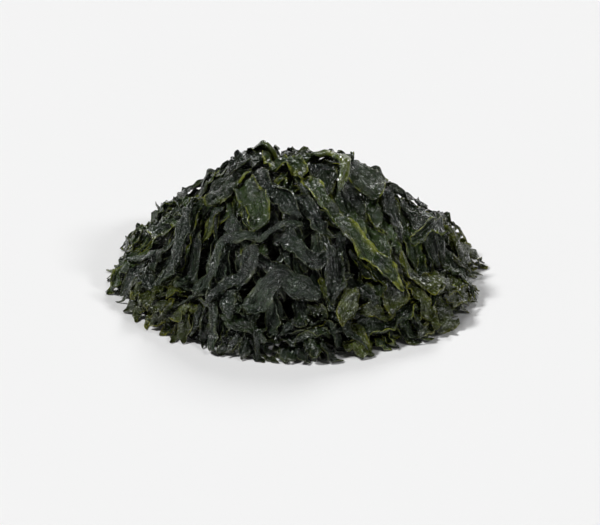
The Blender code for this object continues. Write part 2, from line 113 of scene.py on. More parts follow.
# ------------------------------------------------------------------ lines
def spline(points, count):
    """count points, evenly spaced along a smooth curve through points."""
    p = np.array(points, float)
    p = np.vstack([2 * p[0] - p[1], p, 2 * p[-1] - p[-2]])
    t = np.linspace(0, 1, 24, endpoint=False)[:, None]
    out = []
    for a, b, c, d in zip(p[:-3], p[1:-2], p[2:-1], p[3:]):
        out.append(
            0.5 * (2 * b + (c - a) * t + (2 * a - 5 * b + 4 * c - d) * t**2 + (3 * b - a - 3 * c + d) * t**3)
        )
    line = np.vstack(out + [p[-2:-1]])
    step = np.r_[0, np.cumsum(np.linalg.norm(np.diff(line, axis=0), axis=1))]
    want = np.linspace(0, step[-1], count)
    return np.stack([np.interp(want, step, line[:, k]) for k in range(p.shape[1])], 1), step[-1]


def drift(rng, s, longest, terms=4):
    """Smooth variation along s, about -1 to 1, with wavelengths from longest down."""
    out = np.zeros_like(s, float)
    for k in range(terms):
        out = out + np.sin(2 * math.pi * (s / (longest / (1 + 0.85 * k)) + rng.random())) / (1 + 0.6 * k)
    return out / 1.6


def unit(v):
    return v / np.maximum(np.linalg.norm(v, axis=-1, keepdims=True), 1e-9)


def normals(p):
    return unit(np.cross(np.gradient(p, axis=0), np.gradient(p, axis=1)))


def dense(p, spacing):
    """Points spread over the faces of a grid, no further apart than spacing."""
    n = int(np.ceil(np.linalg.norm(np.diff(p, axis=0), axis=2).max() / spacing)) + 1
    m = int(np.ceil(np.linalg.norm(np.diff(p, axis=1), axis=2).max() / spacing)) + 1
    a = np.linspace(0, p.shape[0] - 1, (p.shape[0] - 1) * n + 1)
    b = np.linspace(0, p.shape[1] - 1, (p.shape[1] - 1) * m + 1)
    ia, ib = np.clip(a.astype(int), 0, p.shape[0] - 2), np.clip(b.astype(int), 0, p.shape[1] - 2)
    ta, tb = (a - ia)[:, None, None], (b - ib)[None, :, None]
    q = p[ia] * (1 - ta) + p[ia + 1] * ta
    return q[:, ib] * (1 - tb) + q[:, ib + 1] * tb, n, m


def end_shape(f, b):
    """Half-width along a blade as a share of its widest: a narrow root and a rounded tip."""
    rise = np.clip(f / 0.22, 0, 1)
    fall = np.clip((1 - f) / b["tip_len"], 0, 1)
    rise, fall = rise * rise * (3 - 2 * rise), fall * fall * (3 - 2 * fall)
    return np.minimum(b["root"] + (1 - b["root"]) * rise, b["tip"] + (1 - b["tip"]) * fall)


# ------------------------------------------------------------------ laying
class Pile:
    """The heap so far, as the height of its top over the plan."""

    def __init__(self):
        self.top = np.zeros((SIDE, SIDE))

    def lay(self, b):
        """Lay one blade on what is below it; its middle surface is b["grid"], n by m points.

        A capped lobe that would stand proud of the heap's outline is left out, and its grid is None.
        """
        rng = np.random.default_rng(b["seed"])
        n, m, thick = b["n"], b["m"], b["thick"]
        line, length = spline(b["route"], n)
        s = np.linspace(0, length, n)
        f = s / length
        b["length"] = length
        wide = b["width"] / 2 * (1 + b["vary"] * drift(rng, s, 60)) * end_shape(f, b)
        roll = np.radians(b["roll"] * drift(rng, s, 70) + b["lean"])
        curl = np.radians(b["curl"] * drift(rng, s, 80))
        u = np.linspace(-1, 1, m)[None, :]
        if b["flat"]:
            along = unit(np.gradient(line, axis=0))
            side = np.stack([-along[:, 1], along[:, 0]], 1)
            xy = line[:, None] + side[:, None] * (wide[:, None] * u)[..., None]
            b["grid"] = np.concatenate([xy, np.full((n, m, 1), thick / 2)], 2)
            self.cover(b["grid"], thick)
            return
        ro, cu, wi = roll[:, None], curl[:, None], wide[:, None]
        cu = np.where(np.abs(cu) < 0.02, 0.02, cu)
        across = 2 * wi / cu * (np.sin(ro + cu * u / 2) - np.sin(ro))
        rise = 2 * wi / cu * (np.cos(ro) - np.cos(ro + cu * u / 2))
        base = blur(swell(self.top, 1.0), b["smooth"])
        broad = blur(self.top, 9.0)
        arch = b["hump"] * np.abs(drift(rng, s, 55)) * np.minimum(1, 2.5 * np.minimum(f, 1 - f))
        z = at(base, line[:, 0], line[:, 1]) + thick / 2 + arch
        middle = np.column_stack([line, z])
        e = 1.5
        gx = (at(broad, line[:, 0] + e, line[:, 1]) - at(broad, line[:, 0] - e, line[:, 1])) / (2 * e)
        gy = (at(broad, line[:, 0], line[:, 1] + e) - at(broad, line[:, 0], line[:, 1] - e)) / (2 * e)
        up = unit(np.stack([-gx, -gy, np.ones(n)], 1))
        along = unit(np.gradient(middle, axis=0))
        up = unit(up - along * (up * along).sum(1, keepdims=True))
        side = np.cross(up, along)
        p = middle[:, None] + side[:, None] * across[..., None] + up[:, None] * rise[..., None]
        cling = at(base, p[..., 0], p[..., 1]) + thick / 2 + rise / np.maximum(up[:, None, 2], 0.5) + arch[:, None]
        p[..., 2] = (1 - b["drape"]) * p[..., 2] + b["drape"] * cling
        below = swell(self.top, 1.0) if b["solid"] else self.top
        for turn in range(7):
            if self.lift(p, thick, below, b["gap"], b["drape"], turn == 6 and b["solid"], b["solid"]) < 0.03:
                break
        if b["capped"]:
            radius = np.hypot(p[..., 0], p[..., 1] / np.where(p[..., 1] > 0, BACK - 0.07, 1.0))
            proud = p[..., 2] - np.interp(radius, *zip(*OUTLINE))
            if float(proud.mean()) > PROUD[0] or float(proud.max()) > PROUD[1]:
                b["grid"] = None
                return
        b["grid"] = p
        self.cover(p, thick)

    def lift(self, p, thick, below, gap, drape, whole_rows, both_sides):
        """Raise the grid where its sides reach into what is below; returns how far they did."""
        nrm = normals(p)
        low = np.zeros(p.shape[:2])
        worst = 0.0
        straight = np.zeros_like(p)
        straight[..., 2] = -thick / 2 / np.clip(np.abs(nrm[..., 2]), 0.5, 1.0)
        for side in (nrm * thick / 2, -nrm * thick / 2) if both_sides else (straight,):
            q, n, m = dense(p + side, 1.0)
            deep = at(below, q[..., 0], q[..., 1]) + gap - q[..., 2]
            worst = max(worst, float(deep.max()))
            cells = np.maximum.reduceat(deep[:-1], np.arange(0, deep.shape[0] - 1, n), axis=0)
            cells = np.maximum(cells, deep[n::n])
            face = np.maximum.reduceat(cells[:, :-1], np.arange(0, cells.shape[1] - 1, m), axis=1)
            face = np.maximum(face, cells[:, m::m])
            pad = np.pad(face, 1, mode="edge")
            near = np.maximum(np.maximum(pad[:-1, :-1], pad[1:, :-1]), np.maximum(pad[:-1, 1:], pad[1:, 1:]))
            low = np.maximum(low, near)
        row = np.broadcast_to(low.max(1, keepdims=True), low.shape)
        want = row if whole_rows else drape * low + (1 - drape) * row
        pad = np.pad(want, ((1, 1), (0, 0)), mode="edge")
        p[..., 2] += np.maximum(want, 0.25 * pad[:-2] + 0.5 * pad[1:-1] + 0.25 * pad[2:])
        return worst

    def cover(self, p, thick):
        nrm = normals(p)
        for sign in (1, -1):
            q, _, _ = dense(p + sign * nrm * thick / 2, 0.7)
            ix = np.clip(np.rint((q[..., 0] + HALF) / CELL).astype(int), 0, SIDE - 1).ravel()
            iy = np.clip(np.rint((q[..., 1] + HALF) / CELL).astype(int), 0, SIDE - 1).ravel()
            np.maximum.at(self.top, (iy, ix), q[..., 2].ravel())


# ------------------------------------------------------------------ what is laid
def blade(name, route, width, seed, **more):
    b = dict(name=name, route=route, width=width, seed=seed, thick=BLADE_THICK, n=18, m=5, roll=12, curl=35,
             lean=0.0, hump=0.0, drape=0.75, smooth=3.0, gap=GAP, root=0.55, tip=0.35, tip_len=0.25, vary=0.16,
             flat=False, solid=True, capped=False, colour="dark")
    b.update(more)
    return b


def polar(radius, degrees):
    return (radius * math.cos(math.radians(degrees)), radius * math.sin(math.radians(degrees)))


def arc(radius, a, b, seed, count=5, wave=2.5):
    rng = np.random.default_rng(seed)
    return [polar(radius + rng.uniform(-wave, wave), v) for v in np.linspace(a, b, count)]


def within(q):
    """The point, brought in to the furthest that a lobe's middle line may reach."""
    return q * min(1.0, HEAP_REACH / math.hypot(q[0], q[1] / (BACK if q[1] > 0 else 1.0)))


def base_blades():
    """Blades that lie flat under the heap: four round its edge and one across its middle."""
    # colour inner is painted shade: these blades lie under the heap and are made near-black
    flat = dict(flat=True, thick=BASE_THICK, m=3, colour="inner")
    out = []
    for k in range(4):
        line = [polar(BASE_RING, 90 * k + a) for a in (8, 27, 45, 63, 82)]
        line = [(x, y * (BACK if y > 0 else 1.0)) for x, y in line]
        out.append(blade(f"base_blade_{k + 1}", line, 44, 11 + k, n=10, root=0.8, tip=0.6, **flat))
    line = [(-50, -8), (-20, 6), (10, -6), (50, 8)]
    out.append(blade("base_blade_5", line, 54, 15, n=8, root=0.85, tip=0.7, **flat))
    return out


def inner_blades():
    """Folded blades in layers, each layer turned on the one below and smaller."""
    out = []
    rng = np.random.default_rng(7)
    for layer, (radius, count, across) in enumerate(INNER_LAYERS):
        for j in range(count):
            y = (j - (count - 1) / 2) * across
            half = math.sqrt(max(radius**2 - (abs(y) + across * 0.2) ** 2, 200.0))
            bend = rng.uniform(-1.5, 1.5, 3)
            turn = math.radians(INNER_TURN * layer)
            c, s = math.cos(turn), math.sin(turn)
            line = [(-half, y + bend[0]), (-half / 3, y), (half / 3, y + bend[1]), (half, y + bend[2])]
            line = [(a * c - b * s, a * s + b * c) for a, b in line]
            line = [(a, b * (0.9 if b > 0 else 1.0) - FORWARD * (layer + 1.5)) for a, b in line]
            k = len(out) + 1
            # colour inner is painted shade: these blades lie deep in the heap and are made near-black
            out.append(
                blade(f"inner_blade_{k:02d}", line, across * 0.9, 40 + k,
                      thick=INNER_THICK, gap=1.1, n=10, m=5, roll=2, curl=8, drape=0.95, smooth=8.0, root=0.75, tip=0.6,
                      tip_len=0.15, vary=0.03, colour="inner")
            )
    return out


def side_lobes(b, count, length, width, down=0.45, sway=0.9, arch=4.0):
    """Room for count lobes that spring from alternate sides of blade b and hang down the slope."""
    rng = np.random.default_rng(b["seed"] + 500)
    line, _ = spline(b["route"], 60)
    along = unit(np.gradient(line, axis=0))
    out = []
    for j in range(count):
        f = 0.08 + 0.88 * (j + rng.uniform(0.15, 0.85)) / count
        i = int(round(f * 59))
        t = along[i]
        side = np.array([-t[1], t[0]]) * (1 if j % 2 else -1)
        fall = line[i] / max(np.linalg.norm(line[i]), 12.0)
        way = unit(side * rng.uniform(0.5, 1.0) + t * rng.uniform(-0.3, 0.6) + fall * 2 * down * rng.uniform(0.5, 1.2))
        turn = rng.uniform(-sway, sway)
        long = length * rng.uniform(0.65, 1.35)
        q = line[i].copy()
        points = [tuple(q)]
        for k in range(4):
            a = turn * (k + 0.5) / 4
            q = q + np.array([way[0] * math.cos(a) - way[1] * math.sin(a), way[0] * math.sin(a) + way[1] * math.cos(a)]) * long / 4
            q = within(q)
            points.append(tuple(q))
        out.append(
            blade(f"{b['name']}_lobe_{j + 1}", points, width * rng.choice((0.45, 0.65, 0.85, 1.15)), b["seed"] * 100 + j, n=13, m=4,
                  thick=LOBE_THICK, gap=LOBE_GAP, solid=False, roll=22, curl=55, hump=rng.uniform(0, arch), drape=0.85,
                  root=0.5, tip=0.3, tip_len=0.45, capped=True, owner=b["name"])
        )
    return out


def loose_lobes(owners, count):
    """Room for more lobes, spread evenly over the slope, each with the blade that it lies nearest to."""
    rng = np.random.default_rng(31)
    middles = np.array([np.mean(b["route"], axis=0) for b in owners])
    out = []
    for j in range(count):
        radius = 3 + 101 * ((j + 0.5) / count) ** 0.6
        angle = math.radians(137.508 * j)
        q = np.array([radius * math.cos(angle), radius * math.sin(angle)])
        way = math.atan2(q[1], q[0]) + rng.normal(0, 0.7)
        turn = rng.uniform(-0.9, 0.9)
        long = rng.uniform(18, 34) * (1.0 if radius < 85 else 0.6)
        points = [tuple(q)]
        for k in range(4):
            a = way + turn * (k + 0.5) / 4
            q = q + np.array([math.cos(a), math.sin(a)]) * long / 4
            q = within(q)
            points.append(tuple(q))
        owner = owners[int(np.argmin(np.linalg.norm(middles - np.mean(points, axis=0), axis=1)))]
        out.append(
            blade(f"{owner['name']}_loose_{j + 1}", points, rng.choice((4.5, 6.5, 8.5, 10.5)), 40000 + j, n=13, m=4,
                  thick=LOBE_THICK, gap=LOBE_GAP, solid=False, roll=22, curl=55, hump=rng.uniform(0, 4), drape=0.85, root=0.5,
                  tip=0.3, tip_len=0.45, capped=True, owner=owner["name"])
        )
    return out


def single_lobes():
    """Lobes that can be told apart on the front: the blade each grows from, its route and its width."""
    told = (
        ("s_blade", [(-24, -60), (-23, -68), (-22, -77)], 14),
        ("light_blade", [(-49, -67), (-58, -62), (-66, -61), (-73, -61)], 8),
        ("light_blade", [(-86, -30), (-95, -21), (-101, -17), (-107, -16)], 7),
        ("light_blade", [(-60, -30), (-62, -42), (-66, -55), (-72, -66)], 11),
        ("low_blade_left", [(-42, -60), (-50, -68), (-56, -76), (-60, -84)], 10),
        ("low_blade_left", [(-34, -78), (-38, -86), (-40, -94), (-38, -102)], 9),
        ("rim_blade_right", [(48, -40), (55, -46), (61, -45), (69, -44)], 12),
        ("front_tongue", [(44, -54), (50, -60), (56, -63), (63, -66)], 16),
        ("front_tongue", [(56, -70), (58, -78), (56, -86), (56, -93)], 15),
        ("low_blade_right", [(74, -56), (80, -60), (88, -60), (96, -54)], 13),
        ("low_blade_right", [(66, -70), (74, -76), (80, -80), (84, -84)], 12),
        ("rim_blade_right", [(40, -30), (50, -38), (58, -50), (60, -60)], 12),
        ("long_edge_blade", [(36, -44), (46, -52), (52, -62), (54, -73)], 11),
        ("rim_blade_right", [(60, -24), (68, -34), (74, -44), (80, -53)], 12),
        ("crest_flap", [(50, -20), (60, -29), (66, -39), (72, -48)], 12),
        ("rear_crest_blade", [(68, -6), (77, -17), (84, -28), (89, -38)], 11),
        ("rear_crest_blade", [(60, -14), (70, -24), (76, -32), (86, -40)], 10),
        ("peak_blade", [(-54, -7), (-61, -9), (-67, -11), (-76, -11)], 13),
        ("peak_blade", [(-41, -14), (-49, -18), (-56, -23), (-62, -26), (-67, -30)], 10),
        ("upper_left_strap", [(-56, -26), (-63, -30), (-68, -38), (-70, -48)], 11),
        ("gutter_blade", [(-40, -44), (-36, -54), (-30, -62), (-30, -72)], 9),
        ("gutter_blade", [(-2, -42), (8, -50), (14, -58), (24, -62)], 10),
        ("slanting_blade", [(-30, -70), (-20, -78), (-8, -80), (4, -82)], 9),
        ("peak_blade_right", [(-6, -46), (-2, -58), (0, -68), (6, -78)], 10),
        ("front_blade_high", [(30, -72), (36, -80), (42, -86), (46, -94)], 10),
        ("crest_flap", [(32, -14), (39, -24), (44, -36), (49, -48)], 12),
        ("long_edge_blade", [(22, -30), (28, -40), (34, -50), (41, -60)], 12),
        ("peak_blade_right", [(24, -22), (30, -31), (36, -40), (41, -47)], 11),
        ("rear_crest_blade", [(44, -10), (52, -22), (58, -34), (63, -46)], 12),
    )
    out = []
    for j, (owner, route, width) in enumerate(told):
        out.append(
            blade(f"{owner}_single_{j + 1}", route, width, 60000 + j, n=13, m=4, thick=LOBE_THICK, gap=LOBE_GAP,
                  solid=False, roll=12, curl=45, hump=0.8, drape=0.8, root=0.5, tip=0.35, tip_len=0.4, owner=owner)
        )
    return out


def outer_blades():
    out = []

    def grow(b, count, length, width, **more):
        out.extend(side_lobes(b, count, length, width, **more))
        out.append(b)

    # blades that run round the foot of the heap, with short frilled lobes
    foot = ((150, 196, 101, "green"), (200, 236, 103, "olive"), (318, 352, 102, "olive"), (356, 398, 101, "olive"),
            (42, 82, 100, "green"), (88, 122, 100, "dark"), (126, 150, 100, "green"))
    for k, (a, b, radius, colour) in enumerate(foot):
        line = [(x, y * (BACK if y > 0 else 1.0)) for x, y in arc(radius, a, b, 60 + k)]
        grow(blade(f"foot_blade_{k + 1}", line, 15, 70 + k, drape=0.85, roll=8, colour=colour),
             20, 13, 7.5, down=0.35, sway=1.3, arch=1.0)
    # blades that hang down the slope at the back and the sides
    slope = ((172, 48, 94, 14, "green"), (148, 60, 98, -12, "dark"), (124, 62, 100, 16, "dark"), (98, 60, 100, -9, "green"),
             (74, 60, 100, 12, "dark"), (50, 64, 98, -14, "green"), (24, 64, 97, -12, "olive"), (2, 50, 92, -12, "olive"),
             (-30, 44, 88, 14, "green"))
    for k, (a, r0, r1, swing, colour) in enumerate(slope):
        line = [polar(r0 + (r1 - r0) * t, a + swing * math.sin(2.6 * t)) for t in (0, 0.33, 0.67, 1)]
        line = [(x, y * (BACK if y > 0 else 1.0)) for x, y in line]
        grow(blade(f"slope_blade_{k + 1}", line, 13, 90 + k, colour=colour), 10, 24, 9, arch=2.0)
    for k, (a, b, radius) in enumerate(((60, 128, 26), (140, 214, 36), (330, 400, 34))):
        grow(blade(f"shoulder_blade_{k + 1}", arc(radius, a, b, 80 + k), 13, 110 + k), 8, 22, 9, arch=2.0)
    # the front of the foot
    grow(blade("front_blade_left", [(-58, -78), (-37, -95), (-30, -104), (-22, -108)], 12, 121), 16, 16, 8, arch=1.5)
    grow(blade("front_blade_middle", [(-18, -100), (-7, -105), (6, -109), (20, -106)], 12, 122), 16, 16, 8, arch=1.5)
    grow(blade("front_blade_right", [(30, -100), (46, -96), (60, -86), (72, -78)], 12, 123, colour="green"), 16, 16, 8, arch=1.5)
    # the blades that show at the front, lowest first: the blade, its lobes, their length and width
    shown = (
        (blade("light_blade", [(-62, -20), (-67, -32), (-72, -44), (-78, -50), (-84, -56)], 11, 130, colour="grey"), 11, 27, 8),
        (blade("low_blade_left", [(-53, -92), (-45, -86), (-37, -83), (-29, -80), (-22, -72)], 10, 131, colour="grey"), 10, 25, 7),
        (blade("arched_blade", [(-30, -99), (-18, -91), (-8, -88), (3, -87), (14, -91)], 13, 132, hump=1.5, smooth=7.0, colour="grey"), 10, 25, 8),
        (blade("front_tongue", [(34, -84), (33, -90), (30, -98), (27, -107)], 11, 133, colour="olive"), 6, 23, 8),
        (blade("low_blade_right", [(62, -62), (71, -66), (79, -68), (90, -65)], 12, 134, colour="olive"), 10, 25, 9),
        (blade("rim_blade_right", [(68, -44), (76, -38), (84, -30), (92, -20)], 11, 135, colour="green"), 10, 25, 9),
        (blade("slanting_blade", [(-14, -66), (-3, -71), (6, -75), (14, -78), (24, -78), (34, -73)], 9, 136, colour="grey"), 10, 27, 7),
        (blade("front_blade_high", [(16, -66), (21, -76), (23, -86), (21, -96)], 11, 137), 8, 25, 7),
        (blade("cross_strap", [(4, -61), (-8, -63), (-22, -62), (-32, -62), (-42, -62), (-47, -66), (-48, -77)], 8, 138, colour="grey"), 11, 29, 7),
        (blade("gutter_blade", [(-24, -20), (-19, -33), (-15, -43), (-7, -49), (-3, -55), (2, -61)], 10, 139, colour="grey"), 11, 29, 7),
        (blade("peak_blade_right", [(-11, -11), (-1, -15), (9, -16), (16, -22), (18, -33), (16, -44)], 14, 140), 10, 27, 8),
        (blade("s_blade", [(-34, -29), (-29, -39), (-23, -49), (-23, -56), (-26, -62)], 13, 141, lean=-16, colour="green"), 6, 27, 7),
        (blade("upper_left_strap", [(-55, -32), (-48, -31), (-41, -27), (-34, -25), (-27, -26)], 10, 142, hump=1.0, smooth=4.5, colour="green"), 10, 27, 8),
        (blade("rear_crest_blade", [(38, -8), (47, -4), (54, -9), (62, -10), (72, -3), (80, 0)], 10, 143), 10, 25, 8),
        (blade("long_edge_blade", [(5, -32), (9, -41), (15, -50), (24, -57), (34, -63), (45, -69), (55, -75), (63, -82)], 12, 144, lean=-20, n=22, smooth=10.0, drape=0.45, colour="green"), 8, 27, 8),
        (blade("crest_flap", [(19, -6), (28, -14), (37, -21), (46, -27), (51, -30)], 20, 145, lean=8, tip=0.6, curl=25, colour="green"), 6, 25, 8),
        (blade("peak_blade", [(-22, 14), (-26, 2), (-31, -10), (-35, -20), (-40, -27)], 16, 146), 8, 25, 8),
        (blade("crown_blade_front", [(-20, -6), (-12, -15), (-3, -21), (3, -26), (3, -38)], 9, 147, colour="green"), 6, 25, 7),
    )
    for b, count, length, width in shown:
        out.extend(side_lobes(b, count, length, width, down=0.35, sway=1.2))
    out.extend(loose_lobes([b for b in out if b["solid"]] + [b for b, _, _, _ in shown], LOOSE_LOBES))
    out.extend(single_lobes())
    out.extend(b for b, _, _, _ in shown)
    # the stem that the blades grow from, where it comes over the crown
    line = [(-30, 24), (-24, 10), (-16, 0), (-8, 3), (0, 4), (8, -1), (14, -10), (22, -14), (28, -21), (29, -32), (25, -42)]
    out.append(blade("midrib", line, 8, 150, n=26, thick=MIDRIB_THICK, roll=8, curl=30, hump=0.5, drape=0.9, root=0.8, tip=0.5, colour="midrib"))
    return out


# ------------------------------------------------------------------ fine surfaces
def finer(p, nf, mf):
    """A smooth refinement of a grid of points to nf by mf."""

    def weights(count, want):
        f = np.linspace(0, count - 1, want)
        i = np.clip(f.astype(int), 0, count - 2)
        t = f - i
        w = np.zeros((want, count))
        shares = ((-1, -0.5 * t + t**2 - 0.5 * t**3), (0, 1 - 2.5 * t**2 + 1.5 * t**3),
                  (1, 0.5 * t + 2 * t**2 - 1.5 * t**3), (2, -0.5 * t**2 + 0.5 * t**3))
        for k, share in shares:
            j = i + k
            for which, first, second in ((j < 0, 0, 1), (j > count - 1, count - 1, count - 2)):
                rows = np.where(which)[0]
                w[rows, first] += 2 * share[rows]
                w[rows, second] -= share[rows]
            rows = np.where((j >= 0) & (j < count))[0]
            w[rows, j[rows]] += share[rows]
        return w

    return np.einsum("ai,ijk,bj->abk", weights(p.shape[0], nf), p, weights(p.shape[1], mf))


def upward(p):
    n = normals(p)
    return n if n[..., 2].mean() >= 0 else -n


def read_table(table, i, u):
    """table[i, u] with u from -1 to 1 across, and a straight run on beyond the ends."""
    m = table.shape[1]
    x = (u + 1) / 2 * (m - 1)
    j = np.clip(np.floor(x).astype(int), 0, m - 2)
    t = (x - j)[..., None]
    t = np.clip(t, -3.0, 4.0)
    rows = np.broadcast_to(i[:, None], j.shape)
    return table[rows, j] * (1 - t) + table[rows, j + 1] * t


def ease(x):
    x = np.clip(x, 0, 1)
    return x * x * (3 - 2 * x)


STYLES = {
    # pleat: angle of the lengthwise folds; folds: how many; edge: how far the edges turn up (down if negative);
    # ruffle: angle of the waves along the edges; wave: their length; crease: height of the small creases
    "ribbon": dict(pleat=60, folds=2.4, edge=50, ruffle=48, wave=11, crease=0.70, cap=3.6, ragged=0.10, thick=0.50),
    "frill": dict(pleat=40, folds=1.5, edge=35, ruffle=75, wave=5.5, crease=0.36, cap=3.2, ragged=0.22, thick=0.45),
    "lobe": dict(pleat=60, folds=2.1, edge=48, ruffle=58, wave=9, crease=0.60, cap=3.4, ragged=0.12, thick=0.45),
    "gutter": dict(pleat=34, folds=1.8, edge=95, ruffle=28, wave=14, crease=0.50, cap=4.0, ragged=0.05, thick=0.55),
    "strap": dict(pleat=36, folds=2.0, edge=-75, ruffle=22, wave=16, crease=0.50, cap=3.0, ragged=0.04, thick=0.60),
    "leaf": dict(pleat=40, folds=2.2, edge=34, ruffle=36, wave=14, crease=0.58, cap=3.0, ragged=0.06, thick=0.50),
    "stem": dict(pleat=14, folds=1.4, edge=-35, ruffle=8, wave=20, crease=0.22, cap=2.0, ragged=0.03, thick=1.5),
}


def strip(b, style, spacing=0.9, across=19):
    """Prepare the fine middle surface of a blade's coarse one, with its own folds still to come."""
    n = max(14, int(b["length"] / spacing))
    table = finer(b["grid"], n, 33)
    b["table"], b["table_n"] = table, upward(table)
    b["n_fine"], b["m_fine"], b["style"] = n, across, style


def fold(b, below, above):
    """The blade's sheet as a grid of points: its cross-section folds, curls and ruffles in the room it has."""
    st = dict(STYLES[b["style"]], **b.get("own", {}))
    rng = np.random.default_rng(b["seed"] + 9000)
    n, m = b["n_fine"], b["m_fine"]
    s = np.linspace(0, b["length"], n)
    f = s / b["length"]
    w = np.linspace(-1, 1, m)
    w = np.sign(w) * np.abs(w) ** 0.92
    w = w[None, :]
    table, up = b["table"], b["table_n"]
    half = 0.5 * np.linalg.norm(np.diff(table, axis=1), axis=2).sum(1)
    phase = rng.uniform(0, 2 * math.pi) + 1.6 * drift(rng, s, 90)
    pleat = np.radians(st["pleat"]) * (0.75 + 0.45 * drift(rng, s, 55))
    phi = pleat[:, None] * np.sin(math.pi * st["folds"] * w + phase[:, None])
    for hand in (1, -1):
        turn = np.radians(st["edge"]) * np.clip(0.75 + 0.7 * drift(rng, s, 45), -0.6, 1.7)
        run = 2 * math.pi * s / (st["wave"] * rng.uniform(0.85, 1.2)) + 1.8 * drift(rng, s, 40) + rng.uniform(0, 6.28)
        wave = np.radians(st["ruffle"]) * np.sin(run) * (0.75 + 0.4 * drift(rng, s, 35))
        far = np.clip(hand * w, 0, 1)
        phi = phi + hand * (turn[:, None] * ease((far - 0.42) / 0.5) + wave[:, None] * ease((far - 0.18) / 0.7))
    step = np.diff(w, axis=1)
    mid = 0.5 * (phi[:, 1:] + phi[:, :-1])
    gather = 1.0 / np.clip(np.mean(np.cos(mid), axis=1, keepdims=True), 0.55, 1.0)
    u = np.concatenate([np.zeros((n, 1)), np.cumsum(np.cos(mid) * step, 1)], 1)
    h = np.concatenate([np.zeros((n, 1)), np.cumsum(np.sin(mid) * step, 1)], 1)
    c = m // 2
    u = (u - u[:, c : c + 1]) * gather
    h = (h - h[:, c : c + 1]) * gather * half[:, None]
    h = h - 0.5 * h.mean(1, keepdims=True)
    # a ragged outline, and no folds left where the blade ends
    ends = ease(f / 0.06) * ease((1 - f) / 0.06)
    outline = 1 + st["ragged"] * (drift(rng, s, 14)[:, None] * (w > 0) + drift(rng, s, 14)[:, None] * (w < 0)) * ease((np.abs(w) - 0.3) / 0.6)
    tip = np.sqrt(np.clip(1 - np.clip(1 - (1 - f) / 0.07, 0, 1) ** 2, 0.02, 1)) * np.sqrt(np.clip(1 - 0.75 * np.clip(1 - f / 0.05, 0, 1) ** 2, 0.02, 1))
    u = u * outline * tip[:, None]
    h = h * (0.35 + 0.65 * ends)[:, None]
    # small creases, most of them lengthwise
    wmm = w * half[:, None]
    small = np.zeros((n, m))
    for k in range(8):
        lam = rng.uniform(3.2, 7.5) / (1 + 0.15 * k)
        lean = rng.normal(0, 0.5)
        bend = 0.5 * drift(rng, s, 26)
        ph = (wmm * math.cos(lean) + s[:, None] * 0.55 * math.sin(lean)) / lam + bend[:, None] + rng.random()
        small += (0.5 - np.abs(np.sin(math.pi * ph))) * lam / 5.0 * (0.6 + 0.5 * drift(rng, s, 30))[:, None]
    for k in range(3):
        lam = rng.uniform(5, 11)
        ph = (s[:, None] + 0.8 * wmm * rng.normal(0, 0.7)) / lam + 0.4 * np.sin(wmm * rng.uniform(0.3, 0.8)) + rng.random()
        small += 0.6 * (0.5 - np.abs(np.sin(math.pi * ph))) * lam / 6.0
    if m > 20:
        for k in range(4):
            lam = rng.uniform(1.9, 3.0)
            ph = (wmm + s[:, None] * rng.normal(0, 0.16)) / lam + 0.8 * drift(rng, s, 18)[:, None] + rng.random()
            small += 0.42 * (0.5 - np.abs(np.sin(math.pi * ph))) * (0.5 + 0.6 * drift(rng, s, 16))[:, None]
    h = h + st["crease"] * small
    i = np.arange(n)
    at_mid = read_table(table, i, u)
    nrm = unit(read_table(up, i, np.clip(u, -1, 1)))
    foot = np.maximum(at_mid[..., 2] - at(below, at_mid[..., 0], at_mid[..., 1]), 0.5)
    head = np.maximum(at(above, at_mid[..., 0], at_mid[..., 1]) - at_mid[..., 2], 0.5)
    half_t = st["thick"] / 2
    highest = np.clip((head - half_t - 0.15), 0.25, st["cap"] + b.get("extra", 0.0))
    lowest = np.clip((foot - half_t - 0.10), 0.25, st["cap"])
    highest, lowest = soften(highest), soften(lowest)
    h = np.where(h > 0, highest * np.tanh(h / highest), lowest * np.tanh(h / lowest))
    b["sheet"] = at_mid + nrm * h[..., None]
    edge = np.clip(1 - np.abs(w), 0, 1) * half[:, None] + 0 * u
    ends_mm = np.minimum(s, b["length"] - s)[:, None]
    # b["rim"] is the mask of the painted edge glow and highlight, strongest at the edges and ends; lit scales it
    rim = st.get("rim", 0.7) * np.clip(0.8 + 0.6 * drift(rng, s, 24), 0.35, 1.5)[:, None]
    b["rim"] = np.exp(-np.minimum(edge, ends_mm + 0.3) / rim) * st.get("lit", 1.0)
    b["w"] = w + 0 * u
    b["sheet_thick"] = st["thick"] * (1 - 0.35 * np.abs(w) ** 6) * np.ones((n, 1))


def soften(a):
    for _ in range(3):
        p = np.pad(a, 1, mode="edge")
        a = np.minimum(a, (p[:-2, 1:-1] + p[2:, 1:-1] + p[1:-1, :-2] + p[1:-1, 2:]) / 4)
    return a


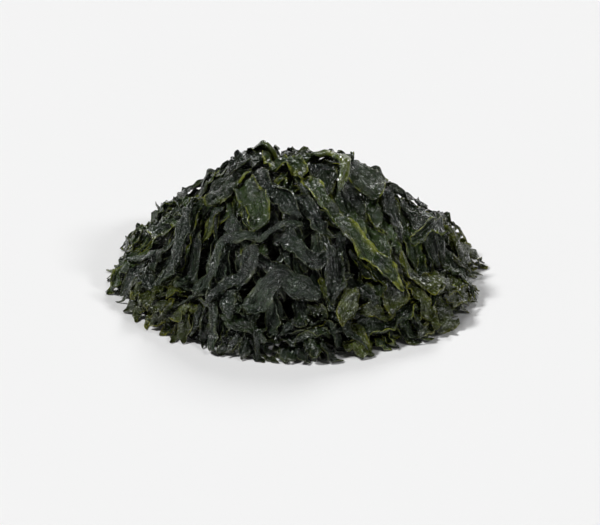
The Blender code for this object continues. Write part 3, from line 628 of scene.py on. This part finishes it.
def fold_over(b, layers, spacing=1.6, across=41):
    """A blade folded over on itself within its solid: layers sheets deep, turned over at the edges."""
    rng = np.random.default_rng(b["seed"] + 9000)
    n, m, thick = max(16, int(b["length"] / spacing)), across, b["thick"]
    table = finer(b["grid"], n, 33)
    up = upward(table)
    s = np.linspace(0, b["length"], n)
    f = s / b["length"]
    w = np.linspace(0, 1, m)[None, :]
    q = w * layers
    k = np.minimum(np.floor(q), layers - 1)
    t = q - k
    back = (k % 2) * 2 - 1
    reach = 0.94 + 0.05 * drift(rng, s, 30)[:, None]
    u = -back * (1 - 2 * t)
    u = np.sign(u) * np.abs(u) ** 0.9 * reach
    level = thick / 2 - 0.6
    h = -level + 2 * level * (k + ease((t - 0.75) / 0.5) + 0.0) / max(layers - 1, 1)
    h = np.minimum(h, level)
    small = np.zeros((n, m))
    for j in range(5):
        lam = rng.uniform(6, 15)
        lean = rng.normal(0, 0.8)
        wmm = u * b["width"] / 2
        ph = (wmm * math.cos(lean) + s[:, None] * math.sin(lean)) / lam + 0.5 * drift(rng, s, 26)[:, None] + 0.37 * k
        small += (0.5 - np.abs(np.sin(math.pi * ph))) * lam / 9.0
    h = np.clip(h + 0.5 * small, -level, level)
    tip = 1 - 0.10 * ease(1 - f / 0.08) - 0.12 * ease(1 - (1 - f) / 0.08)
    u = u * tip[:, None]
    i = np.arange(n)
    b["sheet"] = read_table(table, i, u) + unit(read_table(up, i, u)) * h[..., None]
    # the mask of the painted edge glow and highlight at the folded edges and the ends
    b["rim"] = np.exp(-np.minimum((np.minimum(w, 1 - w) * layers * b["width"]), np.minimum(s, b["length"] - s)[:, None] + 0.3) / 1.1)
    b["w"] = (2 * w - 1) + 0 * u
    b["sheet_thick"] = 0.8 * np.ones((n, m))


def closed_sheet(b):
    """Vertices, quads and looks of the sheet: two sides and the rim between them."""
    p, t = b["sheet"], b["sheet_thick"][..., None]
    n, m = p.shape[:2]
    nrm = normals(p)
    top, low = p + nrm * t / 2, p - nrm * t / 2
    verts = np.concatenate([top.reshape(-1, 3), low.reshape(-1, 3)])
    ids = np.arange(n * m).reshape(n, m)
    a, b2, c, d = ids[:-1, :-1], ids[1:, :-1], ids[1:, 1:], ids[:-1, 1:]
    up = np.stack([a, b2, c, d], -1).reshape(-1, 4)
    down = np.stack([a, d, c, b2], -1).reshape(-1, 4) + n * m
    loop = np.concatenate([ids[0, :-1], ids[:-1, -1], ids[-1, :0:-1], ids[:0:-1, 0]])
    after = np.roll(loop, -1)
    rim = np.stack([loop, after, after + n * m, loop + n * m], -1)
    quads = np.concatenate([up, down, rim])
    # the sides face outward when the first side's faces turn the way its normals do
    across = b["w"] * b["width"] / 2
    along = np.broadcast_to(np.linspace(0, b["length"], n)[:, None], (n, m))
    grain = np.stack([along * 0.11, across * 0.58, np.full((n, m), b["seed"] % 997 * 1.7)], -1).reshape(-1, 3)
    # look holds the painted edge-glow mask, the blade's tone, the place along and the place across
    look = np.stack([b["rim"], np.full((n, m), b["tone"]), np.broadcast_to(np.linspace(0, 1, n)[:, None], (n, m)), b["w"] * 0.5 + 0.5], -1).reshape(-1, 4)
    return verts, quads, np.concatenate([look, look]), np.concatenate([grain, grain])


def at_most(a, x, y, pick):
    """The highest or lowest of the four cells round each point."""
    fx = np.clip((x + HALF) / CELL, 0, SIDE - 1.001).astype(int)
    fy = np.clip((y + HALF) / CELL, 0, SIDE - 1.001).astype(int)
    return pick(pick(a[fy, fx], a[fy, fx + 1]), pick(a[fy + 1, fx], a[fy + 1, fx + 1]))


def lower_onto(above, p, thick):
    """Record the underside of a sheet, so that what lies under it stays under it."""
    fx = np.clip((p[..., 0] + HALF) / CELL, 0, SIDE - 1.001).astype(int).ravel()
    fy = np.clip((p[..., 1] + HALF) / CELL, 0, SIDE - 1.001).astype(int).ravel()
    z = (p[..., 2] - thick / 2).ravel()
    for dx in (0, 1):
        for dy in (0, 1):
            np.minimum.at(above, (fy + dy, fx + dx), z)


# ------------------------------------------------------------------ looks
def node(tree, kind, at_xy, **values):
    n = tree.nodes.new(kind)
    n.location = at_xy
    for key, value in values.items():
        setattr(n, key, value)
    return n


def mix(tree, a, b, share, at_xy, blend="MIX"):
    n = node(tree, "ShaderNodeMix", at_xy, data_type="RGBA", blend_type=blend)
    for socket, value in ((n.inputs[6], a), (n.inputs[7], b), (n.inputs[0], share)):
        if isinstance(value, (int, float)):
            socket.default_value = value
        elif isinstance(value, tuple):
            socket.default_value = (*value, 1.0)
        else:
            tree.links.new(value, socket)
    return n.outputs[2]


def maths(tree, op, a, b, at_xy, clamp=False):
    n = node(tree, "ShaderNodeMath", at_xy, operation=op, use_clamp=clamp)
    for socket, value in zip(n.inputs, (a, b)):
        if isinstance(value, (int, float)):
            socket.default_value = value
        elif value is not None:
            tree.links.new(value, socket)
    return n.outputs[0]


def span(tree, value, low, high, to_low, to_high, at_xy):
    n = node(tree, "ShaderNodeMapRange", at_xy)
    tree.links.new(value, n.inputs[0])
    for k, v in enumerate((low, high, to_low, to_high)):
        n.inputs[k + 1].default_value = v
    return n.outputs[0]


def noise(tree, place, scale, detail, at_xy, rough=0.55, twist=0.0):
    n = node(tree, "ShaderNodeTexNoise", at_xy)
    tree.links.new(place, n.inputs["Vector"])
    n.inputs["Scale"].default_value = scale
    n.inputs["Detail"].default_value = detail
    n.inputs["Roughness"].default_value = rough
    n.inputs["Distortion"].default_value = twist
    return n.outputs["Fac"]


LOOKS = {
    # dark, lit and rim colours, the pale rim colours being a painted glow of light through the thin edges and a painted
    # edge highlight; how much of the rim shows; how much of the lit colour
    "dark": ((0.0018, 0.0052, 0.0014), (0.019, 0.037, 0.007), (0.110, 0.130, 0.022), 0.60, 0.50),
    "green": ((0.0042, 0.0115, 0.0020), (0.038, 0.075, 0.008), (0.220, 0.250, 0.016), 0.85, 0.62),
    "olive": ((0.0105, 0.0165, 0.0012), (0.069, 0.090, 0.004), (0.240, 0.240, 0.010), 0.75, 0.66),
    "grey": ((0.0058, 0.0110, 0.0060), (0.036, 0.056, 0.030), (0.140, 0.160, 0.060), 0.60, 0.60),
    "midrib": ((0.0300, 0.0520, 0.0025), (0.190, 0.215, 0.006), (0.022, 0.042, 0.004), 0.85, 0.80, 0.0006),
    # inner: near-black painted shade for the blades inside and under the heap
    "inner": ((0.0008, 0.0020, 0.0008), (0.003, 0.006, 0.002), (0.012, 0.016, 0.005), 0.30, 0.35),
}


def leaf_material(name, dark, lit, rim, edge_glow_share, lit_share, relief=0.0014):
    mat = bpy.data.materials.new("wakame_skin_" + name)
    mat.use_nodes = True
    tree = mat.node_tree
    shader = tree.nodes["Principled BSDF"]
    place = node(tree, "ShaderNodeTexCoord", (-1800, 0)).outputs["Object"]
    look = node(tree, "ShaderNodeAttribute", (-1800, -300), attribute_name="look")
    parts = node(tree, "ShaderNodeSeparateColor", (-1600, -300))
    tree.links.new(look.outputs["Color"], parts.inputs[0])
    edge, tone = parts.outputs[0], parts.outputs[1]
    # colour: patches of lighter tissue, each blade's own tone, and a thin pale rim that is painted light, a glow
    # through the thin edges and an edge highlight
    patches = noise(tree, place, 55.0, 4.0, (-1500, 300), twist=0.4)
    cells = noise(tree, place, 260.0, 3.0, (-1500, 80))
    share = span(tree, patches, 0.36, 0.68, 0.0, 1.0, (-1250, 300))
    share = maths(tree, "MULTIPLY", share, maths(tree, "ADD", maths(tree, "MULTIPLY", tone, 1.3, (-1250, 120)), 0.15, (-1100, 120)), (-1000, 300), True)
    share = maths(tree, "MULTIPLY", share, lit_share * 1.5, (-850, 300), True)
    colour = mix(tree, dark, lit, share, (-650, 300))
    mottle = span(tree, cells, 0.3, 0.7, 0.75, 1.2, (-1250, -60))
    scaled = node(tree, "ShaderNodeCombineColor", (-1000, -60))
    for k in range(3):
        tree.links.new(mottle, scaled.inputs[k])
    colour = mix(tree, colour, scaled.outputs[0], 1.0, (-450, 300), "MULTIPLY")
    # painted light: where the noise lets it, the edge mask turns the colour towards the rim colour, a painted glow and
    # highlight along the edges
    where = span(tree, noise(tree, place, 95.0, 2.0, (-1500, -120)), 0.44, 0.60, 0.06, 1.0, (-1250, -300))
    painted_edge_glow = maths(tree, "MULTIPLY", maths(tree, "MULTIPLY", edge, where, (-1000, -300)), edge_glow_share, (-850, -300), True)
    colour = mix(tree, colour, rim, painted_edge_glow, (-250, 300))
    tree.links.new(colour, shader.inputs["Base Color"])
    # gloss: wet, duller where it has begun to dry
    wet = noise(tree, place, 120.0, 3.0, (-1500, -500), twist=0.6)
    tree.links.new(span(tree, wet, 0.34, 0.66, 0.11, 0.36, (-1250, -500)), shader.inputs["Roughness"])
    shader.inputs["Specular IOR Level"].default_value = 0.42
    shader.inputs["Specular Tint"].default_value = (0.96, 1.0, 1.0, 1.0)
    shader.inputs["Coat Weight"].default_value = 1.0
    shader.inputs["Coat Roughness"].default_value = 0.07
    # relief: fine creases along each blade, and shallow puckers, under the wet film
    along = node(tree, "ShaderNodeAttribute", (-1800, -800), attribute_name="grain").outputs["Vector"]
    crease = noise(tree, along, 1.0, 1.5, (-1500, -750), rough=0.55, twist=0.6)
    ridge = maths(tree, "ABSOLUTE", maths(tree, "SUBTRACT", crease, 0.5, (-1300, -750)), None, (-1150, -750))
    pucker = noise(tree, place, 330.0, 2.0, (-1500, -950), rough=0.55, twist=1.2)
    sum_ = maths(tree, "ADD", maths(tree, "MULTIPLY", ridge, 3.6, (-1000, -750)), maths(tree, "MULTIPLY", pucker, 1.5, (-1250, -950)), (-850, -850))
    bump = node(tree, "ShaderNodeBump", (-300, -700))
    bump.inputs["Strength"].default_value = 1.0
    bump.inputs["Distance"].default_value = relief
    tree.links.new(sum_, bump.inputs["Height"])
    tree.links.new(bump.outputs["Normal"], shader.inputs["Normal"])
    tree.links.new(bump.outputs["Normal"], shader.inputs["Coat Normal"])
    return mat


def make_piece(name, sheets, material, shift):
    verts, quads, looks, grains, start = [], [], [], [], 0
    for b in sheets:
        v, q, l, g = closed_sheet(b)
        grains.append(g)
        verts.append(v)
        quads.append(q + start)
        looks.append(l)
        start += len(v)
    verts = (np.concatenate(verts) + shift) / 1000.0
    quads, looks = np.concatenate(quads), np.concatenate(looks)
    mesh = bpy.data.meshes.new(name)
    mesh.vertices.add(len(verts))
    mesh.vertices.foreach_set("co", verts.astype(np.float32).ravel())
    mesh.loops.add(quads.size)
    mesh.loops.foreach_set("vertex_index", quads.astype(np.int32).ravel())
    mesh.polygons.add(len(quads))
    mesh.polygons.foreach_set("loop_start", np.arange(0, quads.size, 4, dtype=np.int32))
    mesh.polygons.foreach_set("use_smooth", np.ones(len(quads), bool))
    mesh.update(calc_edges=True)
    mesh.validate()
    mesh.set_sharp_from_angle(angle=math.radians(58))
    grain = mesh.attributes.new("grain", "FLOAT_VECTOR", "POINT")
    grain.data.foreach_set("vector", np.concatenate(grains).astype(np.float32).ravel())
    attr = mesh.color_attributes.new(name="look", type="FLOAT_COLOR", domain="POINT")
    attr.data.foreach_set("color", looks.astype(np.float32).ravel())
    mesh.materials.append(material)
    obj = bpy.data.objects.new(name, mesh)
    bpy.context.scene.collection.objects.link(obj)
    return obj


# ------------------------------------------------------------------ the scene
def light(name, kind, place, aim, size, power, colour=(1, 1, 1)):
    data = bpy.data.lights.new(name, kind)
    data.energy = power
    data.color = colour
    data.angle = math.radians(size)
    obj = bpy.data.objects.new(name, data)
    bpy.context.scene.collection.objects.link(obj)
    obj.location = place
    obj.rotation_euler = (Vector(aim) - Vector(place)).to_track_quat("-Z", "Y").to_euler()
    return obj


def set_stage(target):
    floor_mesh = bpy.data.meshes.new("floor")
    floor_mesh.from_pydata([(-6, -6, 0), (6, -6, 0), (6, 6, 0), (-6, 6, 0)], [], [(0, 1, 2, 3)])
    floor = bpy.data.objects.new("floor", floor_mesh)
    bpy.context.scene.collection.objects.link(floor)
    mat = bpy.data.materials.new("floor_paint")
    mat.use_nodes = True
    shader = mat.node_tree.nodes["Principled BSDF"]
    place = node(mat.node_tree, "ShaderNodeTexCoord", (-900, 0)).outputs["Object"]
    tone = noise(mat.node_tree, place, 3.0, 2.0, (-700, 0))
    colour = mix(mat.node_tree, (0.875, 0.875, 0.875), (0.885, 0.885, 0.885), tone, (-400, 0))
    mat.node_tree.links.new(colour, shader.inputs["Base Color"])
    shader.inputs["Roughness"].default_value = 0.9
    shader.inputs["Specular IOR Level"].default_value = 0.0
    floor_mesh.materials.append(mat)

    world = bpy.data.worlds.new("studio")
    bpy.context.scene.world = world
    world.use_nodes = True
    tree = world.node_tree
    way = node(tree, "ShaderNodeTexCoord", (-800, 0)).outputs["Generated"]
    split = node(tree, "ShaderNodeSeparateXYZ", (-600, 0))
    tree.links.new(way, split.inputs[0])
    tone = span(tree, split.outputs[2], 0.05, 0.75, SKY_LOW, SKY_HIGH, (-400, 0))
    tree.nodes["Background"].inputs[0].default_value = (1.0, 1.0, 1.0, 1.0)
    tree.links.new(tone, tree.nodes["Background"].inputs[1])
    light("key", "SUN", (-0.75, -0.10, 1.10), (0, 0, 0), 10.0, KEY)
    light("fill", "SUN", (0.95, -0.55, 0.80), (0, 0, 0), 10.0, FILL)
    light("rear", "SUN", (0.25, 1.00, 0.75), (0, 0, 0), 16.0, REAR)

    cam = bpy.data.cameras.new("camera")
    cam.lens = 36.0 * (1.63 * 1800.0) / 600.0
    cam.sensor_width = 36.0
    cam.clip_start, cam.clip_end = 0.05, 30.0
    obj = bpy.data.objects.new("camera", cam)
    bpy.context.scene.collection.objects.link(obj)
    e = math.radians(25.5)
    target = Vector(target)
    obj.location = target + Vector((0.0, -math.cos(e), math.sin(e))) * 1.8
    obj.rotation_euler = (target - obj.location).to_track_quat("-Z", "Y").to_euler()
    bpy.context.scene.camera = obj
    bpy.context.scene.view_settings.view_transform = "Standard"
    bpy.context.scene.view_settings.look = "None"
    bpy.context.scene.view_settings.exposure = 0.0


SKY_LOW, SKY_HIGH, KEY, FILL, REAR = 0.14, 0.024, 2.33, 0.80, 1.18

STYLE_OF = {
    "foot": "frill", "slope": "ribbon", "shoulder": "ribbon", "front_blade": "ribbon", "light_blade": "leaf",
    "arched_blade": "leaf", "front_tongue": "leaf", "cross_strap": "strap", "gutter_blade": "gutter",
    "s_blade": "leaf", "upper_left_strap": "strap", "long_edge_blade": "leaf", "crest_flap": "leaf",
    "peak_blade": "ribbon", "midrib": "stem",
}


OWN = {  # what single blades do differently: see STYLES; lit makes the pale rim, a painted edge glow and highlight, stronger
    "long_edge_blade": dict(pleat=30, folds=1.6, edge=60, ruffle=18, wave=22, crease=0.50, cap=5.0, thick=0.75, rim=1.5, lit=3.0),
    "crest_flap": dict(pleat=14, folds=1.0, edge=24, ruffle=22, wave=22, crease=0.30, cap=5.0, thick=0.60, rim=1.0, lit=2.0),
    "crown_blade_front": dict(edge=55, cap=4.0, rim=1.2, lit=2.5),
    "upper_left_strap": dict(edge=-70, cap=4.0, rim=0.9, lit=2.0),
    "s_blade": dict(pleat=18, cap=4.5, rim=1.1, lit=2.2),
    "peak_blade": dict(pleat=34, cap=4.5),
    "peak_blade_right": dict(pleat=40, cap=4.5, rim=1.0, lit=1.8),
    "gutter_blade": dict(cap=5.0),
    "arched_blade": dict(cap=4.5, edge=-50),
    "front_tongue": dict(pleat=10, folds=1.0, edge=-25, cap=3.5),
    "midrib": dict(lit=1.6, rim=1.3, pleat=20, edge=-60, cap=3.0),
}


def style_of(b):
    if not b["solid"]:
        owner = b["owner"]
        return "frill" if owner.startswith(("foot", "front_blade_l", "front_blade_m", "front_blade_right", "low_blade_right", "rim")) else "lobe"
    for start, style in sorted(STYLE_OF.items(), key=lambda kv: -len(kv[0])):
        if b["name"].startswith(start):
            return style
    return "ribbon"


def crown_lobes():
    """Lobes under the arch of the midrib."""
    routes = (
        ("crest_flap", [(2, 12), (10, 8), (19, 4), (28, -4), (34, -14)], 12, 6.0),
        ("peak_blade_right", [(-6, 16), (4, 13), (14, 10), (24, 6), (34, 4)], 13, 9.0),
        ("peak_blade", [(-34, 22), (-28, 12), (-20, 6), (-12, 2)], 12, 4.0),
        ("peak_blade_right", [(-14, 8), (-4, 6), (6, 2), (14, -4), (20, -12)], 10, 5.0),
    )
    return [
        blade(f"{owner}_crown_{j + 1}", route, width, 70000 + j, n=15, m=4, thick=LOBE_THICK, gap=LOBE_GAP, solid=False,
              roll=26, curl=60, hump=hump, drape=0.8, smooth=5.0, owner=owner)
        for j, (owner, route, width, hump) in enumerate(routes)
    ]


def main():
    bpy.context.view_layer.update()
    pile = Pile()
    laid = []
    for b in base_blades() + inner_blades() + outer_blades():
        if b["name"] == "midrib":
            # lobes that fill the hollow under the midrib's arch; they take no room from it
            under = Pile()
            under.top = pile.top.copy()
            for extra in crown_lobes():
                extra["below"] = under.top.astype(np.float32)
                under.lay(extra)
                laid.append(extra)
        b["below"] = pile.top.astype(np.float32)
        pile.lay(b)
        if b["grid"] is not None:
            laid.append(b)
    first = laid[0]["grid"].reshape(-1, 3)
    low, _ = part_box("base_blade_1")
    shift = np.array([low[0] * 1000 - first[:, 0].min(), low[1] * 1000 - first[:, 1].min(), 0.0])

    above = np.full((SIDE, SIDE), 999.0)
    rng = np.random.default_rng(5)
    for b in reversed(laid):
        b["tone"] = float(np.clip(rng.beta(1.6, 1.8), 0, 1))
        b["own"] = OWN.get(b["name"], {})
        if b["flat"]:
            fold_over(b, 2, 3.0, 17)
        elif b["name"].startswith("inner"):
            fold_over(b, 3, 2.8, 25)
        else:
            behind = float(b["grid"][..., 1].mean()) > 22.0
            if b["solid"] and b["name"].startswith(("foot", "slope", "shoulder")):
                strip(b, style_of(b), 1.1 if behind else 0.85, 17)
            elif b["solid"]:
                strip(b, style_of(b), 0.62, 27)
            else:
                strip(b, style_of(b), 1.1 if behind else 0.88, 10 if behind else 13)
            fold(b, b["below"], above)
        lower_onto(above, b["sheet"], b["sheet_thick"])
        b["below"] = None

    mats = {name: leaf_material(name, *look) for name, look in LOOKS.items()}
    for b in laid:
        if not b["solid"]:
            continue
        sheets = [b] + [x for x in laid if x.get("owner") == b["name"]]
        piece = make_piece("sheet_" + b["name"], sheets, mats[b["colour"]], shift)
        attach(piece, "root")
        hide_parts(b["name"])

    set_stage(((2.15 + shift[0]) / 1000, shift[1] / 1000, 0.0089))


main()
